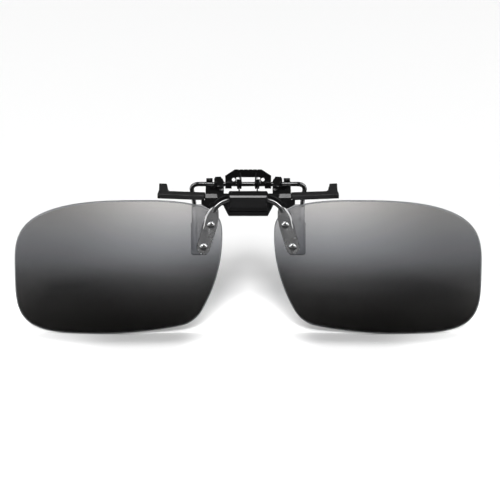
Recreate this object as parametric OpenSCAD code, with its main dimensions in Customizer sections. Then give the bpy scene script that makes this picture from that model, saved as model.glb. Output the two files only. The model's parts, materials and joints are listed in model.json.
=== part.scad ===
// Flip-up clip-on sunglasses.
// X is the width (the wearer's right is -X), +Y points at the wearer's face,
// +Z is up. The origin is the centre of the flat rear face of the clip's base,
// the face that sits against the bridge of the glasses underneath.
// All sizes are millimetres. Paired parts are drawn on the wearer's right and mirrored.

/* [Lenses] */
// Width of one lens
lens_w = 60; // [57:0.5:61]
// Height of one lens
lens_h = 40; // [37:0.5:43]
// Lens thickness
lens_t = 1.1; // [0.9:0.1:1.3]
// Distance between the two lenses at the nose
lens_gap = 14.9; // [14.5:0.1:15.6]
// Radius of the lens curve
lens_r = 160; // [130:5:240]
// Lean of the lowered lenses, lower edge forward, in degrees
lens_tilt = 4; // [0:1:8]

/* [Flip hinge] */
// Diameter of the bridge wire
bridge_wire_d = 1.4; // [1.2:0.05:1.4]
// Bend radius of the bridge wire's arms
bridge_bend_r = 6; // [5.8:0.1:6.2]
// Side of the square cam on the bridge wire
cam_side = 1.9; // [1.8:0.05:2]
// Thickness of the detent leaf
detent_t = 0.25; // [0.15:0.05:0.3]

/* [Clip] */
// Diameter of the claw wire
claw_wire_d = 1.3; // [1.1:0.05:1.3]
// Distance from the rear face of the base back to the claw wire's axle
axle_back = 9; // [8.6:0.1:9.6]
// Sweep of each front arm towards the wearer, in degrees
arm_sweep = 6.5; // [5:0.5:8]
// Length of the soft sleeve on each front arm
sleeve_l = 13.55; // [12:0.05:14.5]
// Drop of the rear claws below the axle
claw_drop = 19.6; // [18:0.2:22]
// Lean of the thumb lever, in degrees
lever_lean = 20; // [14:1:26]
// Radial clearance of a wire in its bearing
bearing_gap = 0.05; // [0.03:0.01:0.08]

/* [Hardware] */
// Diameter of the domed screw heads
screw_head_d = 2.3; // [2:0.1:2.5]
// Diameter of the screw shanks
screw_d = 1.2; // [1:0.1:1.2]

/* [Hidden] */
overlap = 0.01;

// flip axis, parallel to X
flip_y = -2.65;
flip_z = -0.22;
bridge_wire_r = bridge_wire_d / 2;
bridge_bore_r = bridge_wire_r + bearing_gap;
arm_start = 4.6;     // where each arm of the bridge wire starts to bend
arm_end_a = 56;      // angle of that bend

// block: levels and half widths of its six-sided front outline
block_top = 1.6;
block_mid = -2.16;
block_bottom = -5.05;
block_half_top = 5.4;
block_half_mid = 7.17;
block_half_bottom = 5.6;
part_y = -1.2;       // plane where the front cover meets the base

// hollows round the flip axis, shared by base and cover
cam_room_r = 1.33;
cam_room_l = 7.2;
bend_room_r = 1.1;

// front arm core and its sleeve, in the arm frame
sleeve_in = -3.92;   // inner end of the sleeve
sleeve_out = sleeve_in - sleeve_l;
core_out = sleeve_out + 0.62;
core_y = 0.45;
core_z = -0.75;
core_depth = 2.3;
core_h = 0.8;

// lens: measured from the flip axis, lens hanging straight down
lens_top = 0.25;
lens_bottom = lens_top - lens_h;
lens_x = -(lens_gap + lens_w) / 2;
leaf_x = -12;                              // middle of the leaf
leaf_a = asin((leaf_x - lens_x) / lens_r); // the lens surface leans this far at the leaf
lens_back = 1.3;     // rear face of the lens at the leaf, behind the wire's plane
lens_centre_y = lens_back + lens_r * cos(leaf_a);

// leaf and hardware, in the leaf frame
screw_at = [[0.998, -7.32], [-1.169, -13.77]];  // x, z
leaf_t = 0.9;
leaf_gap = 0.05;     // between the front of the lens and the leaf
leaf_back = lens_t + leaf_gap;             // from the lens's rear face forward to the leaf
washer_t = 0.22;
nut_t = 0.9;
nut_bore_r = screw_d / 2 + 0.02;           // also the washer's
screw_head_h = 0.75;

// claw wire
claw_wire_r = claw_wire_d / 2;
axle_z = 0.6;
claw_outer = 15.6;   // half distance between the outer legs
claw_inner = 12.9;   // half distance between the inner legs
claw_mid = (claw_outer + claw_inner) / 2;
claw_turn_r = (claw_outer - claw_inner) / 2;
claw_y = 6.1;        // plane of the legs' lower part
claw_z = axle_z - claw_drop + claw_turn_r; // level where the legs meet the bottom turn

// ---------- curves ----------
// quarter of a superellipse from the side extreme to the level extreme, without its end
function quarter(side, level, power_x, power_z, n) =
    [for (i = [0:n - 1])
        let(t = 90 * i / n)
        [level[0] + (side[0] - level[0]) * pow(cos(t), 2 / power_x),
            side[1] + (level[1] - side[1]) * pow(sin(t), 2 / power_z)]];

// points first to last of an arc from a0 to a1 cut in n steps
function arc(centre, r, a0, a1, n, first, last) =
    [for (i = [first:last])
        let(a = a0 + (a1 - a0) * i / n)
        centre + r * [cos(a), sin(a)]];

function reversed(list) = [for (i = [len(list) - 1:-1:0]) list[i]];

// lens outline from the lens's own centre line; +x is the nose side
function lens_outline() =
    let(half = lens_w / 2,
        stretch = lens_h / 40,
        top = [5, lens_top],
        bottom = [-6.5, lens_bottom],
        outer = [-half, lens_top - 20.4 * stretch],
        nose = [half, lens_top - 11.4 * stretch],
        nose_r = 44,
        bottom_r = 140,
        corner_r = 9,
        nose_c = nose - [nose_r, 0],
        bottom_c = bottom + [0, bottom_r],
        // corner circle tangent to the nose flank circle and the lower edge circle
        span = bottom_c - nose_c,
        dist = norm(span),
        from_nose = nose_r - corner_r,
        from_bottom = bottom_r - corner_r,
        along = (from_nose * from_nose - from_bottom * from_bottom + dist * dist) / (2 * dist),
        across = sqrt(max(0, from_nose * from_nose - along * along)),
        foot = nose_c + along * span / dist,
        offset = across * [-span[1], span[0]] / dist,
        c1 = foot + offset,
        c2 = foot - offset,
        corner_c = (c1[0] - c1[1] > c2[0] - c2[1]) ? c1 : c2,
        to_nose = corner_c - nose_c,
        to_bottom = corner_c - bottom_c,
        nose_a = atan2(to_nose[1], to_nose[0]),
        bottom_a = atan2(to_bottom[1], to_bottom[0]))
    concat(
        quarter(nose, top, 2.5, 3.1, 18),
        [top],
        reversed(quarter(outer, top, 2.5, 3.1, 22)),
        [for (p = quarter(outer, bottom, 3.8, 4.3, 18)) if (p[1] < outer[1] - 0.01) p],
        [bottom],
        [for (p = arc(bottom_c, bottom_r, -90, bottom_a, 7, 0, 7)) if (p[0] > bottom[0] + 0.5) p],
        arc(corner_c, corner_r, bottom_a, nose_a, 9, 1, 9),
        arc(nose_c, nose_r, nose_a, 0, 12, 1, 11)
    );

// Catmull-Rom curve through the given points, n steps a span
function catmull_rom(a, b, c, d, t) =
    0.5 * ((2 * b) + (c - a) * t + (2 * a - 5 * b + 4 * c - d) * t * t
        + (3 * b - a - 3 * c + d) * t * t * t);
function smooth(points, n) =
    let(last = len(points) - 1)
    concat(
        [for (i = [0:last - 1], j = [0:n - 1])
            catmull_rom(points[max(0, i - 1)], points[i], points[i + 1],
                points[min(last, i + 2)], j / n)],
        [points[last]]);

function unit(v) = v / norm(v);
function tangent(path, i) = unit(path[min(len(path) - 1, i + 1)] - path[max(0, i - 1)]);
// part of v square to the path at point i, unit length
function square_to(path, i, v) = unit(v - (v * tangent(path, i)) * tangent(path, i));
// pairs of normals carried along the path without twist
function frames(path, normal) =
    [for (i = 0, u = square_to(path, 0, normal);
        i < len(path);
        i = i + 1, u = i < len(path) ? square_to(path, i, u) : u)
        [u, cross(tangent(path, i), u)]];

// ---------- solids and frames ----------
// round wire of radius r along a path, with n sides
module wire(path, r, n, normal = [0, 1, 0.13]) {
    frame = frames(path, normal);
    last = len(path) - 1;
    points = [for (i = [0:last], k = [0:n - 1])
        path[i] + r * (cos(360 * k / n) * frame[i][0] + sin(360 * k / n) * frame[i][1])];
    start_cap = [for (k = [0:n - 1]) k];
    end_cap = [for (k = [n - 1:-1:0]) last * n + k];
    lower = [for (i = [0:last - 1], k = [0:n - 1])
        [i * n + k, (i + 1) * n + k, (i + 1) * n + (k + 1) % n]];
    upper = [for (i = [0:last - 1], k = [0:n - 1])
        [i * n + k, (i + 1) * n + (k + 1) % n, i * n + (k + 1) % n]];
    polyhedron(points = points, faces = concat([start_cap], [end_cap], lower, upper));
}

// cylinder along X, centred on x
module xrod(r, l, x = 0)
    translate([x, 0, 0])
        rotate([0, 90, 0])
            cylinder(h = l, r = r, center = true, $fn = 64);

// (Y, Z) profile extruded from x0 to x1
module extrude_x(profile, x0, x1)
    translate([x0, 0, 0])
        rotate([90, 0, 90])
            linear_extrude(height = x1 - x0) polygon(profile);

// (X, Z) outline extruded from y0 to y1
module extrude_y(profile, y0, y1)
    translate([0, y1, 0])
        rotate([90, 0, 0])
            linear_extrude(height = y1 - y0) polygon(profile);

// (X, Y) outline extruded from z0 to z1
module extrude_z(profile, z0, z1)
    translate([0, 0, z0])
        linear_extrude(height = z1 - z0) polygon(profile);

module mirrored() mirror([1, 0, 0]) children();
module both() {
    children();
    mirrored() children();
}

module at_flip() translate([0, flip_y, flip_z]) children();
module at_axle() translate([0, axle_back, axle_z]) children();
// frame of the lowered lenses
module flip_frame() at_flip() rotate([-lens_tilt, 0, 0]) children();
// tangent frame of the lens at the leaf: x along the surface, -y out of the front
module leaf_frame() translate([leaf_x, lens_back, 0]) rotate([0, 0, leaf_a]) children();
// frames of the screws: z forward from the rear face of the lens
module at_screws() for (s = screw_at) translate([s[0], 0, s[1]]) rotate([90, 0, 0]) children();
module screw_frames() flip_frame() leaf_frame() at_screws() children();
// frame of the right front arm, which runs towards -x
module arm_frame() translate([-8.8, -1, 0]) rotate([0, 0, -arm_sweep]) children();

// ---------- fixed base ----------
block_outline = [
    [-block_half_top, block_top], [block_half_top, block_top],
    [block_half_mid, block_mid], [block_half_bottom, block_bottom],
    [-block_half_bottom, block_bottom], [-block_half_mid, block_mid]];

// web below the arm
module arm_web() {
    web = [[-4.5, 0.85], [-7.6, 0.85], [-8.6, -0.25], [-12.2, -0.25], [-13.5, -0.9],
        [-13.5, -2.15], [-11.2, -3.55], [-10, -2.75], [-6.4, -2.3], [-4.5, -2.3]];
    difference() {
        extrude_y(web, -1, 0);
        // room for the end of the sleeve
        translate([-14, -2, -1.12]) cube([1.7, 4, 4]);
    }
}

// saddle that carries the axle
module saddle() {
    // side profile with a chamfered front end: y, z
    side = [[-0.8, -1.05], [-0.8, -0.2], [0.1, 0.7], [axle_back, 0.7],
        [axle_back + 0.35, 0.4], [axle_back + 0.35, -0.75], [axle_back - 1, -1.25],
        [3, -1.25], [2.1, -1.05]];
    shoulder = [[-9.1, 0.1], [-8.75, -1], [-6, -1], [-6, 0.1]];
    // y behind the axle, z
    hook = [[-1, -1.25], [0.9, -1], [1.35, -0.65], [1.35, 1.75], [1.1, 2.05],
        [-0.15, 2.05], [-0.25, 1.95], [-0.25, 1.4], [0.55, 1.4],
        [0.73, 1.2], [0.73, 0.6], [-1, 0.3]];
    difference() {
        union() {
            extrude_x(side, -12.3, -7.05);
            // square shoulder between the chamfer and the block
            extrude_z(shoulder, -1, 0.85);
            // short hook that holds the axle from behind
            translate([0, axle_back, 0]) extrude_x(hook, -12.15, -10.3);
        }
        at_axle() xrod(claw_wire_r + bearing_gap + 0.02, 26);
        // open window in the saddle, behind the arm
        translate([-11.1, 3.4, -3]) cube([2.2, 3.2, 6]);
    }
    // rib beside the window
    extrude_x([[3, 0.6], [3.4, 1.15], [6.6, 1.15], [7.1, 0.6]], -8.35, -7.05);
}

// bearing with its snap-in slot
module axle_bearing() {
    slot_w = 1.04;
    finger = [[0, 0.65], [0, 1.55], [0.4, 1.9], [6.35, 2.32], [6.35, 1.62],
        [5.6, 1.4], [5.6, 0.65]];
    difference() {
        union() {
            at_axle() xrod(1.68, 2.8, -8.45);
            // retaining finger over the axle
            translate([-8, 4.3, 0]) rotate([0, 0, 6.8]) extrude_x(finger, -0.9, 0.9);
        }
        at_axle() xrod(claw_wire_r + bearing_gap, 20);
        translate([-12, axle_back - slot_w / 2, axle_z - 3]) cube([6, slot_w, 3]);
        // the finger keeps clear of the lever
        translate([-7.02, 0, -3]) cube([4, 14, 8]);
        extrude_y([[-7.85, 3], [-6.9, 3], [-6.9, 0.95], [-7.1, 0.95]], 7, 11);
    }
}

module base_half() {
    arm_web();
    // front arm core, inside the sleeve
    arm_frame() translate([core_out, core_y, core_z]) cube([-core_out, core_depth, core_h]);
    saddle();
    axle_bearing();
}

// lower lip under the cover
module base_lip() {
    side = [[-3, -3.75], [-2.75, -3.47], [part_y + overlap, -3.47],
        [part_y + overlap, -5.2], [-2.7, -5.2], [-3, -4.8]];
    plan = [[-7.3, 0.1], [-7.3, -2.0], [-5.2, -3.1], [5.2, -3.1], [7.3, -2.0], [7.3, 0.1]];
    intersection() {
        extrude_y(block_outline, -3, part_y + overlap);
        extrude_x(side, -8, 8);
        extrude_z(plan, -6, 0);
    }
}

module clip_base() color("#1a1a1c") {
    tongue_y = flip_y + bridge_bore_r;
    difference() {
        union() {
            extrude_y(block_outline, part_y, 0);
            base_lip();
            both() base_half();
        }
        // recess for the cam and clearance for the wire's bends
        at_flip() {
            xrod(cam_room_r, cam_room_l);
            xrod(bend_room_r, 20);
        }
    }
    // tongues that close the cover's bearings behind the wire
    both() translate([3.65, tongue_y, flip_z - 0.6]) cube([0.75, part_y + 0.1 - tongue_y, 1.2]);
}

module hinge_cover() color("#232326") {
    side = [[part_y, block_top], [-3.72, block_top], [-4.3, 1.02], [-4.3, -2],
        [-3.3, -3.4], [part_y, -3.4]];
    plan = [[-7.3, -1.1], [-7.17, -1.9], [-5.05, -4.31], [5.05, -4.31],
        [7.17, -1.9], [7.3, -1.1]];
    bend_room_x = 7.45;
    bend_room_l = 6;
    room_front = -1.05;
    difference() {
        intersection() {
            extrude_y(block_outline, -4.4, part_y);
            extrude_x(side, -8, 8);
            extrude_z(plan, -4, 2);
        }
        at_flip() {
            // bearings, open to the rear so that the wire can be laid in
            xrod(bridge_bore_r, 20);
            translate([-10, 0, -bridge_bore_r]) cube([20, 3, 2 * bridge_bore_r]);
            // room for the bends outside the bearings
            both() {
                xrod(bend_room_r, bend_room_l, bend_room_x);
                translate([bend_room_x - bend_room_l / 2, 0, -bend_room_r])
                    cube([bend_room_l, 3, 2 * bend_room_r]);
            }
            // cam chamber and the flexing room under the leaf
            xrod(cam_room_r, cam_room_l);
            translate([-cam_room_l / 2, room_front, -1.25 - detent_t])
                cube([cam_room_l, 4, 1.25 + detent_t]);
            translate([-2.6, room_front, -2.1]) cube([5.2, 4, 2.1]);
        }
    }
}

// flat leaf under the cam, its corners cut off
module detent_spring() color("silver") {
    length = 7;
    front = 0.95;
    at_flip() translate([0, 0, -cam_side / 2 - 0.01]) difference() {
        translate([-length / 2, -front, -detent_t]) cube([length, 1.85, detent_t]);
        for (sx = [-1, 1], sy = [-1, 1])
            translate([sx * length / 2, sy * front - 0.02, -1])
                rotate([0, 0, 45])
                    cube([0.6, 0.6, 3], center = true);
    }
}

// square cam with its edges rounded off
module flip_cam() color("gainsboro") {
    length = 5;
    at_flip() difference() {
        intersection() {
            cube([length, cam_side, cam_side], center = true);
            xrod(1.24, length);
        }
        xrod(bridge_wire_r + 0.005, 6);
    }
}

// ---------- flip body ----------
// bend of the right arm, down from the flip axis
module arm_bend(angle, r)
    translate([-arm_start, 0, -bridge_bend_r])
        rotate([90, 0, 0])
            rotate_extrude(angle = angle, start = 90, $fn = 96)
                translate([bridge_bend_r, 0]) circle(r = r, $fn = 48);

// straight end of the right arm, starting back_off before the end of the bend
module arm_tip(back_off, length, r)
    translate([-arm_start - bridge_bend_r * sin(arm_end_a), 0,
        -bridge_bend_r * (1 - cos(arm_end_a))])
        rotate([0, 180 + 90 - arm_end_a, 0])
            translate([0, 0, -back_off]) cylinder(h = length, r = r, $fn = 48);

// each arm leaves the bearing, bends down and ends on the leaf
module bridge_wire() color("silver") {
    at_flip() xrod(bridge_wire_r, 2 * arm_start);
    flip_frame() both() {
        arm_bend(arm_end_a, bridge_wire_r);
        arm_tip(0.3, 1.3, bridge_wire_r - 0.03);
    }
}

// rounds of the leaf's outline, top to bottom: x, z, radius, facets
leaf_rounds = [
    [1.93, -3.32, 1.3, 48],
    [1.35, -4.82, 1.9, 64],
    [screw_at[0][0] - 0.168, screw_at[0][1] + 0.02, 2.03, 64],
    [screw_at[1][0] + 0.069, screw_at[1][1] - 0.23, 1.95, 64]];

module leaf_side() flip_frame() difference() {
    leaf_frame() difference() {
        rotate([90, 0, 0])
            translate([0, 0, leaf_back])
                linear_extrude(height = leaf_t)
                    hull() for (c = leaf_rounds) translate([c[0], c[1]]) circle(r = c[2], $fn = c[3]);
        at_screws() cylinder(h = 8, r = screw_d / 2 + 0.03, center = true, $fn = 40);
    }
    // seat of the wire
    arm_bend(arm_end_a - 0.5, bridge_wire_r + 0.02);
    arm_tip(0.35, 1.4, bridge_wire_r + 0.035);
}

module lens_side() flip_frame() difference() {
    intersection() {
        translate([lens_x, 0, 0]) extrude_y(lens_outline(), -12, 6);
        // curved shell
        translate([lens_x, lens_centre_y, -60]) difference() {
            cylinder(h = 80, r = lens_r + lens_t, $fn = 720);
            translate([0, 0, -1]) cylinder(h = 82, r = lens_r, $fn = 720);
        }
    }
    leaf_frame() at_screws() cylinder(h = 8, r = 1, center = true, $fn = 48);
}

// domed head in front of the leaf, shank back through leaf, lens, washer and nut
module screws_side() screw_frames() {
    head_z = leaf_back + leaf_t + 0.01;
    head_r = screw_head_d / 2;
    dome_r = (head_r * head_r + screw_head_h * screw_head_h) / (2 * screw_head_h);
    shank_back = washer_t + nut_t + 0.27;
    difference() {
        intersection() {
            translate([0, 0, head_z + screw_head_h - dome_r]) sphere(r = dome_r, $fn = 64);
            translate([0, 0, head_z]) cylinder(h = 2, r = 3, $fn = 64);
        }
        // slot
        translate([0, 0, head_z + screw_head_h + 0.2]) cube([3, 0.34, 0.9], center = true);
    }
    translate([0, 0, -shank_back])
        cylinder(h = head_z + shank_back + overlap, r = screw_d / 2, $fn = 40);
}

// top-hat washer: flange behind the lens, collar through it
module washers_side() screw_frames() difference() {
    union() {
        translate([0, 0, -washer_t - 0.01]) cylinder(h = washer_t, r = 1.38, $fn = 48);
        translate([0, 0, -0.1]) cylinder(h = lens_t + 0.07, r = 0.97, $fn = 48);
    }
    cylinder(h = 8, r = nut_bore_r, center = true, $fn = 40);
}

module nuts_side() screw_frames() translate([0, 0, -washer_t - 0.02 - nut_t]) difference() {
    cylinder(h = nut_t, r = 1.3, $fn = 6);
    translate([0, 0, -1]) cylinder(h = 4, r = nut_bore_r, $fn = 40);
}

// ---------- clip ----------
// soft sleeve on the front arm; its outer end carries the tab that lies on the glasses
module sleeve_side() {
    fit = 0.02;
    // cross-section: y, z
    section = [[0, -0.85], [0.25, -1.1], [2.95, -1.1], [3.2, -0.85],
        [3.2, 0.15], [2.95, 0.4], [0.3, 0.4], [0, 0.1]];
    // x from the sleeve's outer end, y
    tab = [[0, 2.5], [3.1, 2.5], [3.05, 3.2], [2.7, 3.8], [1.55, 9.1],
        [1.35, 9.3], [-0.5, 9.3], [-0.7, 9.1], [-0.1, 4.2], [0, 3.2]];
    // x from the sleeve's inner end, y
    chamfer = [[-0.36, 3.3], [-0.36, 3.21], [0.1, 2.75], [0.1, 3.3]];
    arm_frame() difference() {
        union() {
            extrude_x(section, sleeve_out, sleeve_in);
            translate([sleeve_out, 0, 0]) extrude_z(tab, -0.25, 0.4);
        }
        // room for the arm core
        translate([core_out - 0.05, core_y - fit, core_z - fit])
            cube([30, core_depth + 2 * fit, core_h + 2 * fit]);
        // the inner end is chamfered at the rear
        translate([sleeve_in, 0, 0]) extrude_z(chamfer, -3, 3);
    }
}

module thumb_lever() color("#161618") {
    half_w = 6.65;
    half_top = 3.9;
    height = 4.25;
    half_t = 0.45;
    opening = 3.5;       // half width, up to the knuckles
    knuckle_l = half_w - opening;
    plate = [[-half_w, 0], [-half_w, 2.45], [-half_top, height],
        [half_top, height], [half_w, 2.45], [half_w, 0]];
    rest = [[-half_t, 2.5], [-half_t, height], [0.75, height], [0.95, 3.98], [half_t, 2.5]];
    at_axle() rotate([-lever_lean, 0, 0]) difference() {
        union() {
            extrude_y(plate, -half_t, half_t);
            // thumb rest along the top
            extrude_x(rest, -half_top, half_top);
            // knuckles on the axle
            for (s = [-1, 1]) xrod(1.3, knuckle_l, s * (opening + half_w) / 2);
        }
        // opening over the springs and the axle
        translate([-opening, -2, -2]) cube([2 * opening, 4, 3.5]);
        translate([-2.43, -2, 0]) cube([4.86, 4, 1.98]);
        for (s = [-1, 1]) {
            translate([s * 3.04 - 0.4, -2, 1]) cube([0.8, 4, 0.95]);
            translate([s * 4.22, 0, 1.3])
                rotate([90, 0, 0]) cylinder(h = 4, r = 0.52, center = true, $fn = 40);
            // relief at the inner end of each knuckle, below the axle
            translate([s * 4.15 - 0.65, -2, -2.2]) cube([1.3, 4, 2]);
            // shallow dimple in the front face
            translate([s * 5.4, -half_t, 0.95])
                rotate([90, 0, 0]) cylinder(h = 0.5, r = 0.3, center = true, $fn = 32);
        }
        // notches that make the grip on the thumb rest
        for (x = [-2.6:1.3:2.6]) translate([x, 0.2, 4.38]) cube([0.3, 3, 0.5], center = true);
        xrod(claw_wire_r + 0.01, 20);
    }
}

// right claw: from the axle down the outer leg, round the turn, up the inner leg
claw_path = concat(
    smooth([[-13.6, axle_back, axle_z], [-14.3, axle_back, axle_z],
        [-15.15, axle_back, axle_z - 0.12], [-15.9, axle_back, axle_z - 0.5],
        [-16.3, axle_back, axle_z - 1.15], [-16.3, axle_back - 0.06, axle_z - 1.9],
        [-15.85, axle_back - 0.4, -3.5], [-claw_outer, axle_back - 1.6, -6.5],
        [-claw_outer, claw_y + 0.15, -9.2], [-claw_outer, claw_y, -10.2],
        [-claw_outer, claw_y, -11.2], [-claw_outer, claw_y, claw_z]], 3),
    [for (i = [1:8])
        [-claw_mid - claw_turn_r * cos(20 * i), claw_y, claw_z - claw_turn_r * sin(20 * i)]],
    smooth([[-claw_inner, claw_y, claw_z], [-claw_inner, claw_y, -11.2],
        [-claw_inner, claw_y, -10.2], [-claw_inner, claw_y + 0.15, -9.2],
        [-12.5, axle_back - 1.4, -6.5], [-11.9, axle_back + 0.35, -3.9],
        [-11.65, axle_back + 1, -2.3]], 3));

module claw_sweep(r) wire(claw_path, r, 12);

module claw_wire() color("silver") {
    at_axle() xrod(claw_wire_r, 28);
    both() claw_sweep(claw_wire_r - 0.01);
}

// torsion spring round the axle: foot on the block, coil, leg up the lever
module torsion_side() {
    coil_r = 1.24;
    wire_r = 0.2;
    turns = 2.72;
    steps = 44;
    coil_x = -3.24;      // outer end of the coil
    coil_l = 1.14;
    // the foot rests on top of the block and runs back to the top of the coil
    foot_z = block_top + wire_r + 0.02;
    foot = [[-2.6, -0.35, foot_z], [-2.62, 0.6, foot_z],
        [-2.75, 2.5, foot_z + 0.04], [-3.15, 6.6, axle_z + coil_r + 0.06]];
    // the coil starts on top and winds towards the middle
    coil = [for (i = [0:steps])
        let(a = 360 * turns * i / steps)
        [coil_x + coil_l * i / steps, axle_back + coil_r * sin(a), axle_z + coil_r * cos(a)]];
    // the leg leaves the coil in front of the axle and runs up the lever's front face
    up = [0, sin(lever_lean), cos(lever_lean)];
    forward = [0, -cos(lever_lean), sin(lever_lean)];
    axle = [0, axle_back, axle_z];
    leg = [coil[steps] + 0.35 * up + [0.02, 0, 0],
        [-2.1, 0, 0] + axle + 1.2 * up + 1.08 * forward,
        [-2.2, 0, 0] + axle + 2.2 * up + 0.7 * forward,
        [-2.3, 0, 0] + axle + 3.2 * up + 0.68 * forward];
    wire(concat(smooth(foot, 3), coil, smooth(leg, 3)), wire_r, 8, [1, 0.1, 0]);
}

module pad_side() {
    cover = claw_wire_r + 0.42;    // from the wire's centre line to the pad's edge
    half_w = claw_turn_r + cover;
    half_t = 0.9;
    corner_r = 0.9;
    bottom = claw_z - claw_turn_r - cover;
    corner_z = bottom + corner_r;
    // side profiles: y from the legs' plane, z
    side = [[-half_t, bottom + 0.5], [-0.4, bottom - 0.1], [0.4, bottom - 0.1],
        [half_t, bottom + 0.5], [half_t, -10.9], [0.6, -10.4], [-0.6, -10.4], [-half_t, -10.9]];
    neck = [[-0.88, -11], [-0.78, -9.2], [0.35, -6.7], [0.95, -5.6],
        [2.95, -5.6], [2.35, -6.7], [1.12, -9.2], [0.88, -11]];
    difference() {
        translate([0, claw_y, 0]) union() {
            intersection() {
                // outline with rounded lower corners
                translate([-claw_mid, half_t, 0])
                    rotate([90, 0, 0]) linear_extrude(height = 2 * half_t) union() {
                        hull() for (s = [-1, 1])
                            translate([s * (half_w - corner_r), corner_z])
                                circle(r = corner_r, $fn = 64);
                        translate([-half_w, corner_z]) square([2 * half_w, -10.5 - corner_z]);
                    }
                // softened front and rear edges
                extrude_x(side, -claw_mid - 4, -claw_mid + 4);
            }
            // neck that runs up both wires
            extrude_x(neck, -claw_outer - claw_wire_r - 0.14, -11.6);
        }
        // channel of the wire
        claw_sweep(claw_wire_r + 0.03);
    }
}

// ---------- paired nodes ----------
module right_lens() color("#3c3d40", 0.75) lens_side();
module left_lens() color("#3c3d40", 0.75) mirrored() lens_side();
module right_lens_leaf() color("silver") leaf_side();
module left_lens_leaf() color("silver") mirrored() leaf_side();
module right_lens_screws() color("gainsboro") screws_side();
module left_lens_screws() color("gainsboro") mirrored() screws_side();
module right_lens_washers() color("white", 0.5) washers_side();
module left_lens_washers() color("white", 0.5) mirrored() washers_side();
module right_lens_nuts() color("gainsboro") nuts_side();
module left_lens_nuts() color("gainsboro") mirrored() nuts_side();
module right_arm_sleeve() color("#2c2c2e") sleeve_side();
module left_arm_sleeve() color("#2c2c2e") mirrored() sleeve_side();
module right_torsion_spring() color("silver") torsion_side();
module left_torsion_spring() color("silver") mirrored() torsion_side();
module right_rear_pad() color("white", 0.4) pad_side();
module left_rear_pad() color("white", 0.4) mirrored() pad_side();

clip_base();
hinge_cover();
detent_spring();
flip_cam();
bridge_wire();
right_lens_leaf();
left_lens_leaf();
right_lens();
left_lens();
right_lens_screws();
left_lens_screws();
right_lens_washers();
left_lens_washers();
right_lens_nuts();
left_lens_nuts();
right_arm_sleeve();
left_arm_sleeve();
thumb_lever();
claw_wire();
right_torsion_spring();
left_torsion_spring();
right_rear_pad();
left_rear_pad();
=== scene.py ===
# Flip-up clip-on sunglasses: a hinge block between two tinted lenses, which hang from a bridge
# wire, and a sprung claw wire with silicone pads behind them.
# X runs across the face ("right" parts at -x, mirrored to +x for "left"), -y is the front, +z up.
# Shapes are measured in millimetres and scaled to metres as meshes are made; the stage is in metres.
import json
import math
import bpy
import bmesh
from mathutils import Matrix, Vector


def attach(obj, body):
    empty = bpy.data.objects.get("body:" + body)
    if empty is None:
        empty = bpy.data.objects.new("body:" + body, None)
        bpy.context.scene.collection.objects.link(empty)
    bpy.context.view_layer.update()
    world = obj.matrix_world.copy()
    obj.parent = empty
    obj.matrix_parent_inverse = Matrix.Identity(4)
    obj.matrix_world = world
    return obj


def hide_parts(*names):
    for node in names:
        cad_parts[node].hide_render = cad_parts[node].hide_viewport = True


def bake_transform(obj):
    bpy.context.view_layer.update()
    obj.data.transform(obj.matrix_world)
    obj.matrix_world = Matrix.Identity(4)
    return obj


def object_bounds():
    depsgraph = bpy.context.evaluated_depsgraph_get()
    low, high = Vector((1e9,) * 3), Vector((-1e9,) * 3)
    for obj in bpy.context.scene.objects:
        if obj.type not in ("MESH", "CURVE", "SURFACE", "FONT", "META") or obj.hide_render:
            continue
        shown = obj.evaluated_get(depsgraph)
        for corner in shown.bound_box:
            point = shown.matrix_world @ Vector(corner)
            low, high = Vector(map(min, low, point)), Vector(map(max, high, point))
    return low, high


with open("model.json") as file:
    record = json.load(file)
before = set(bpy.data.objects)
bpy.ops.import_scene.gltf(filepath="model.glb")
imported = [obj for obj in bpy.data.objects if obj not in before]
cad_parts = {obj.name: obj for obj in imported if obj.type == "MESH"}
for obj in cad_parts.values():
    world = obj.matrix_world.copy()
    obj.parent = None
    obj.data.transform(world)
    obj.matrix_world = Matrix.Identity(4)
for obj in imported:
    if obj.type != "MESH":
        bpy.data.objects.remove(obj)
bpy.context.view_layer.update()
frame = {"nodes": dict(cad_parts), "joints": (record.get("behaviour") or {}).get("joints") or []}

MM = 0.001
joints = {joint["name"]: Vector(joint["pos_m"]) for joint in frame["joints"]}
FLIP = joints["flip"]
AXLE = joints["jaw"]
AXLE_Y, AXLE_Z = AXLE.y / MM, AXLE.z / MM
scene = bpy.context.scene
cad_nodes = frame["nodes"]
SIDES = (("right", False), ("left", True))      # name, mirrored to +x
MIRROR = Matrix.Scale(-1, 4, Vector((1, 0, 0)))

# ---------------------------------------------------------------- lens and leaf dimensions (mm)
LENS_WIDTH = 60.0
LENS_HEIGHT = 40.0
LENS_THICKNESS = 1.1
LENS_GAP = 14.9             # between the two lenses
LENS_RADIUS = 160.0         # of the back face, a cylinder about z
LENS_TILT = 4.0             # degrees
LENS_TOP = 0.25             # above the flip axis
LENS_BOTTOM = LENS_TOP - LENS_HEIGHT
LENS_X = -(LENS_GAP + LENS_WIDTH) / 2
LEAF_X = -12.0
LEAF_ANGLE = math.asin((LEAF_X - LENS_X) / LENS_RADIUS)
LENS_BACK_Y = 1.3           # back face at the leaf
LENS_AXIS_Y = LENS_BACK_Y + LENS_RADIUS * math.cos(LEAF_ANGLE)
SCREWS = [(0.998, -7.32), (-1.169, -13.77)]     # x, z on the leaf

FLIP_FRAME = Matrix.Translation(FLIP) @ Matrix.Rotation(math.radians(-LENS_TILT), 4, "X")
LEAF_FRAME = (FLIP_FRAME @ Matrix.Translation(Vector((LEAF_X, LENS_BACK_Y, 0)) * MM)
              @ Matrix.Rotation(LEAF_ANGLE, 4, "Z"))
# +z points out of the front of the lens
SCREW_FRAMES = [LEAF_FRAME @ Matrix.Translation(Vector((x, 0, z)) * MM)
                @ Matrix.Rotation(math.radians(90), 4, "X") for x, z in SCREWS]


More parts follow.
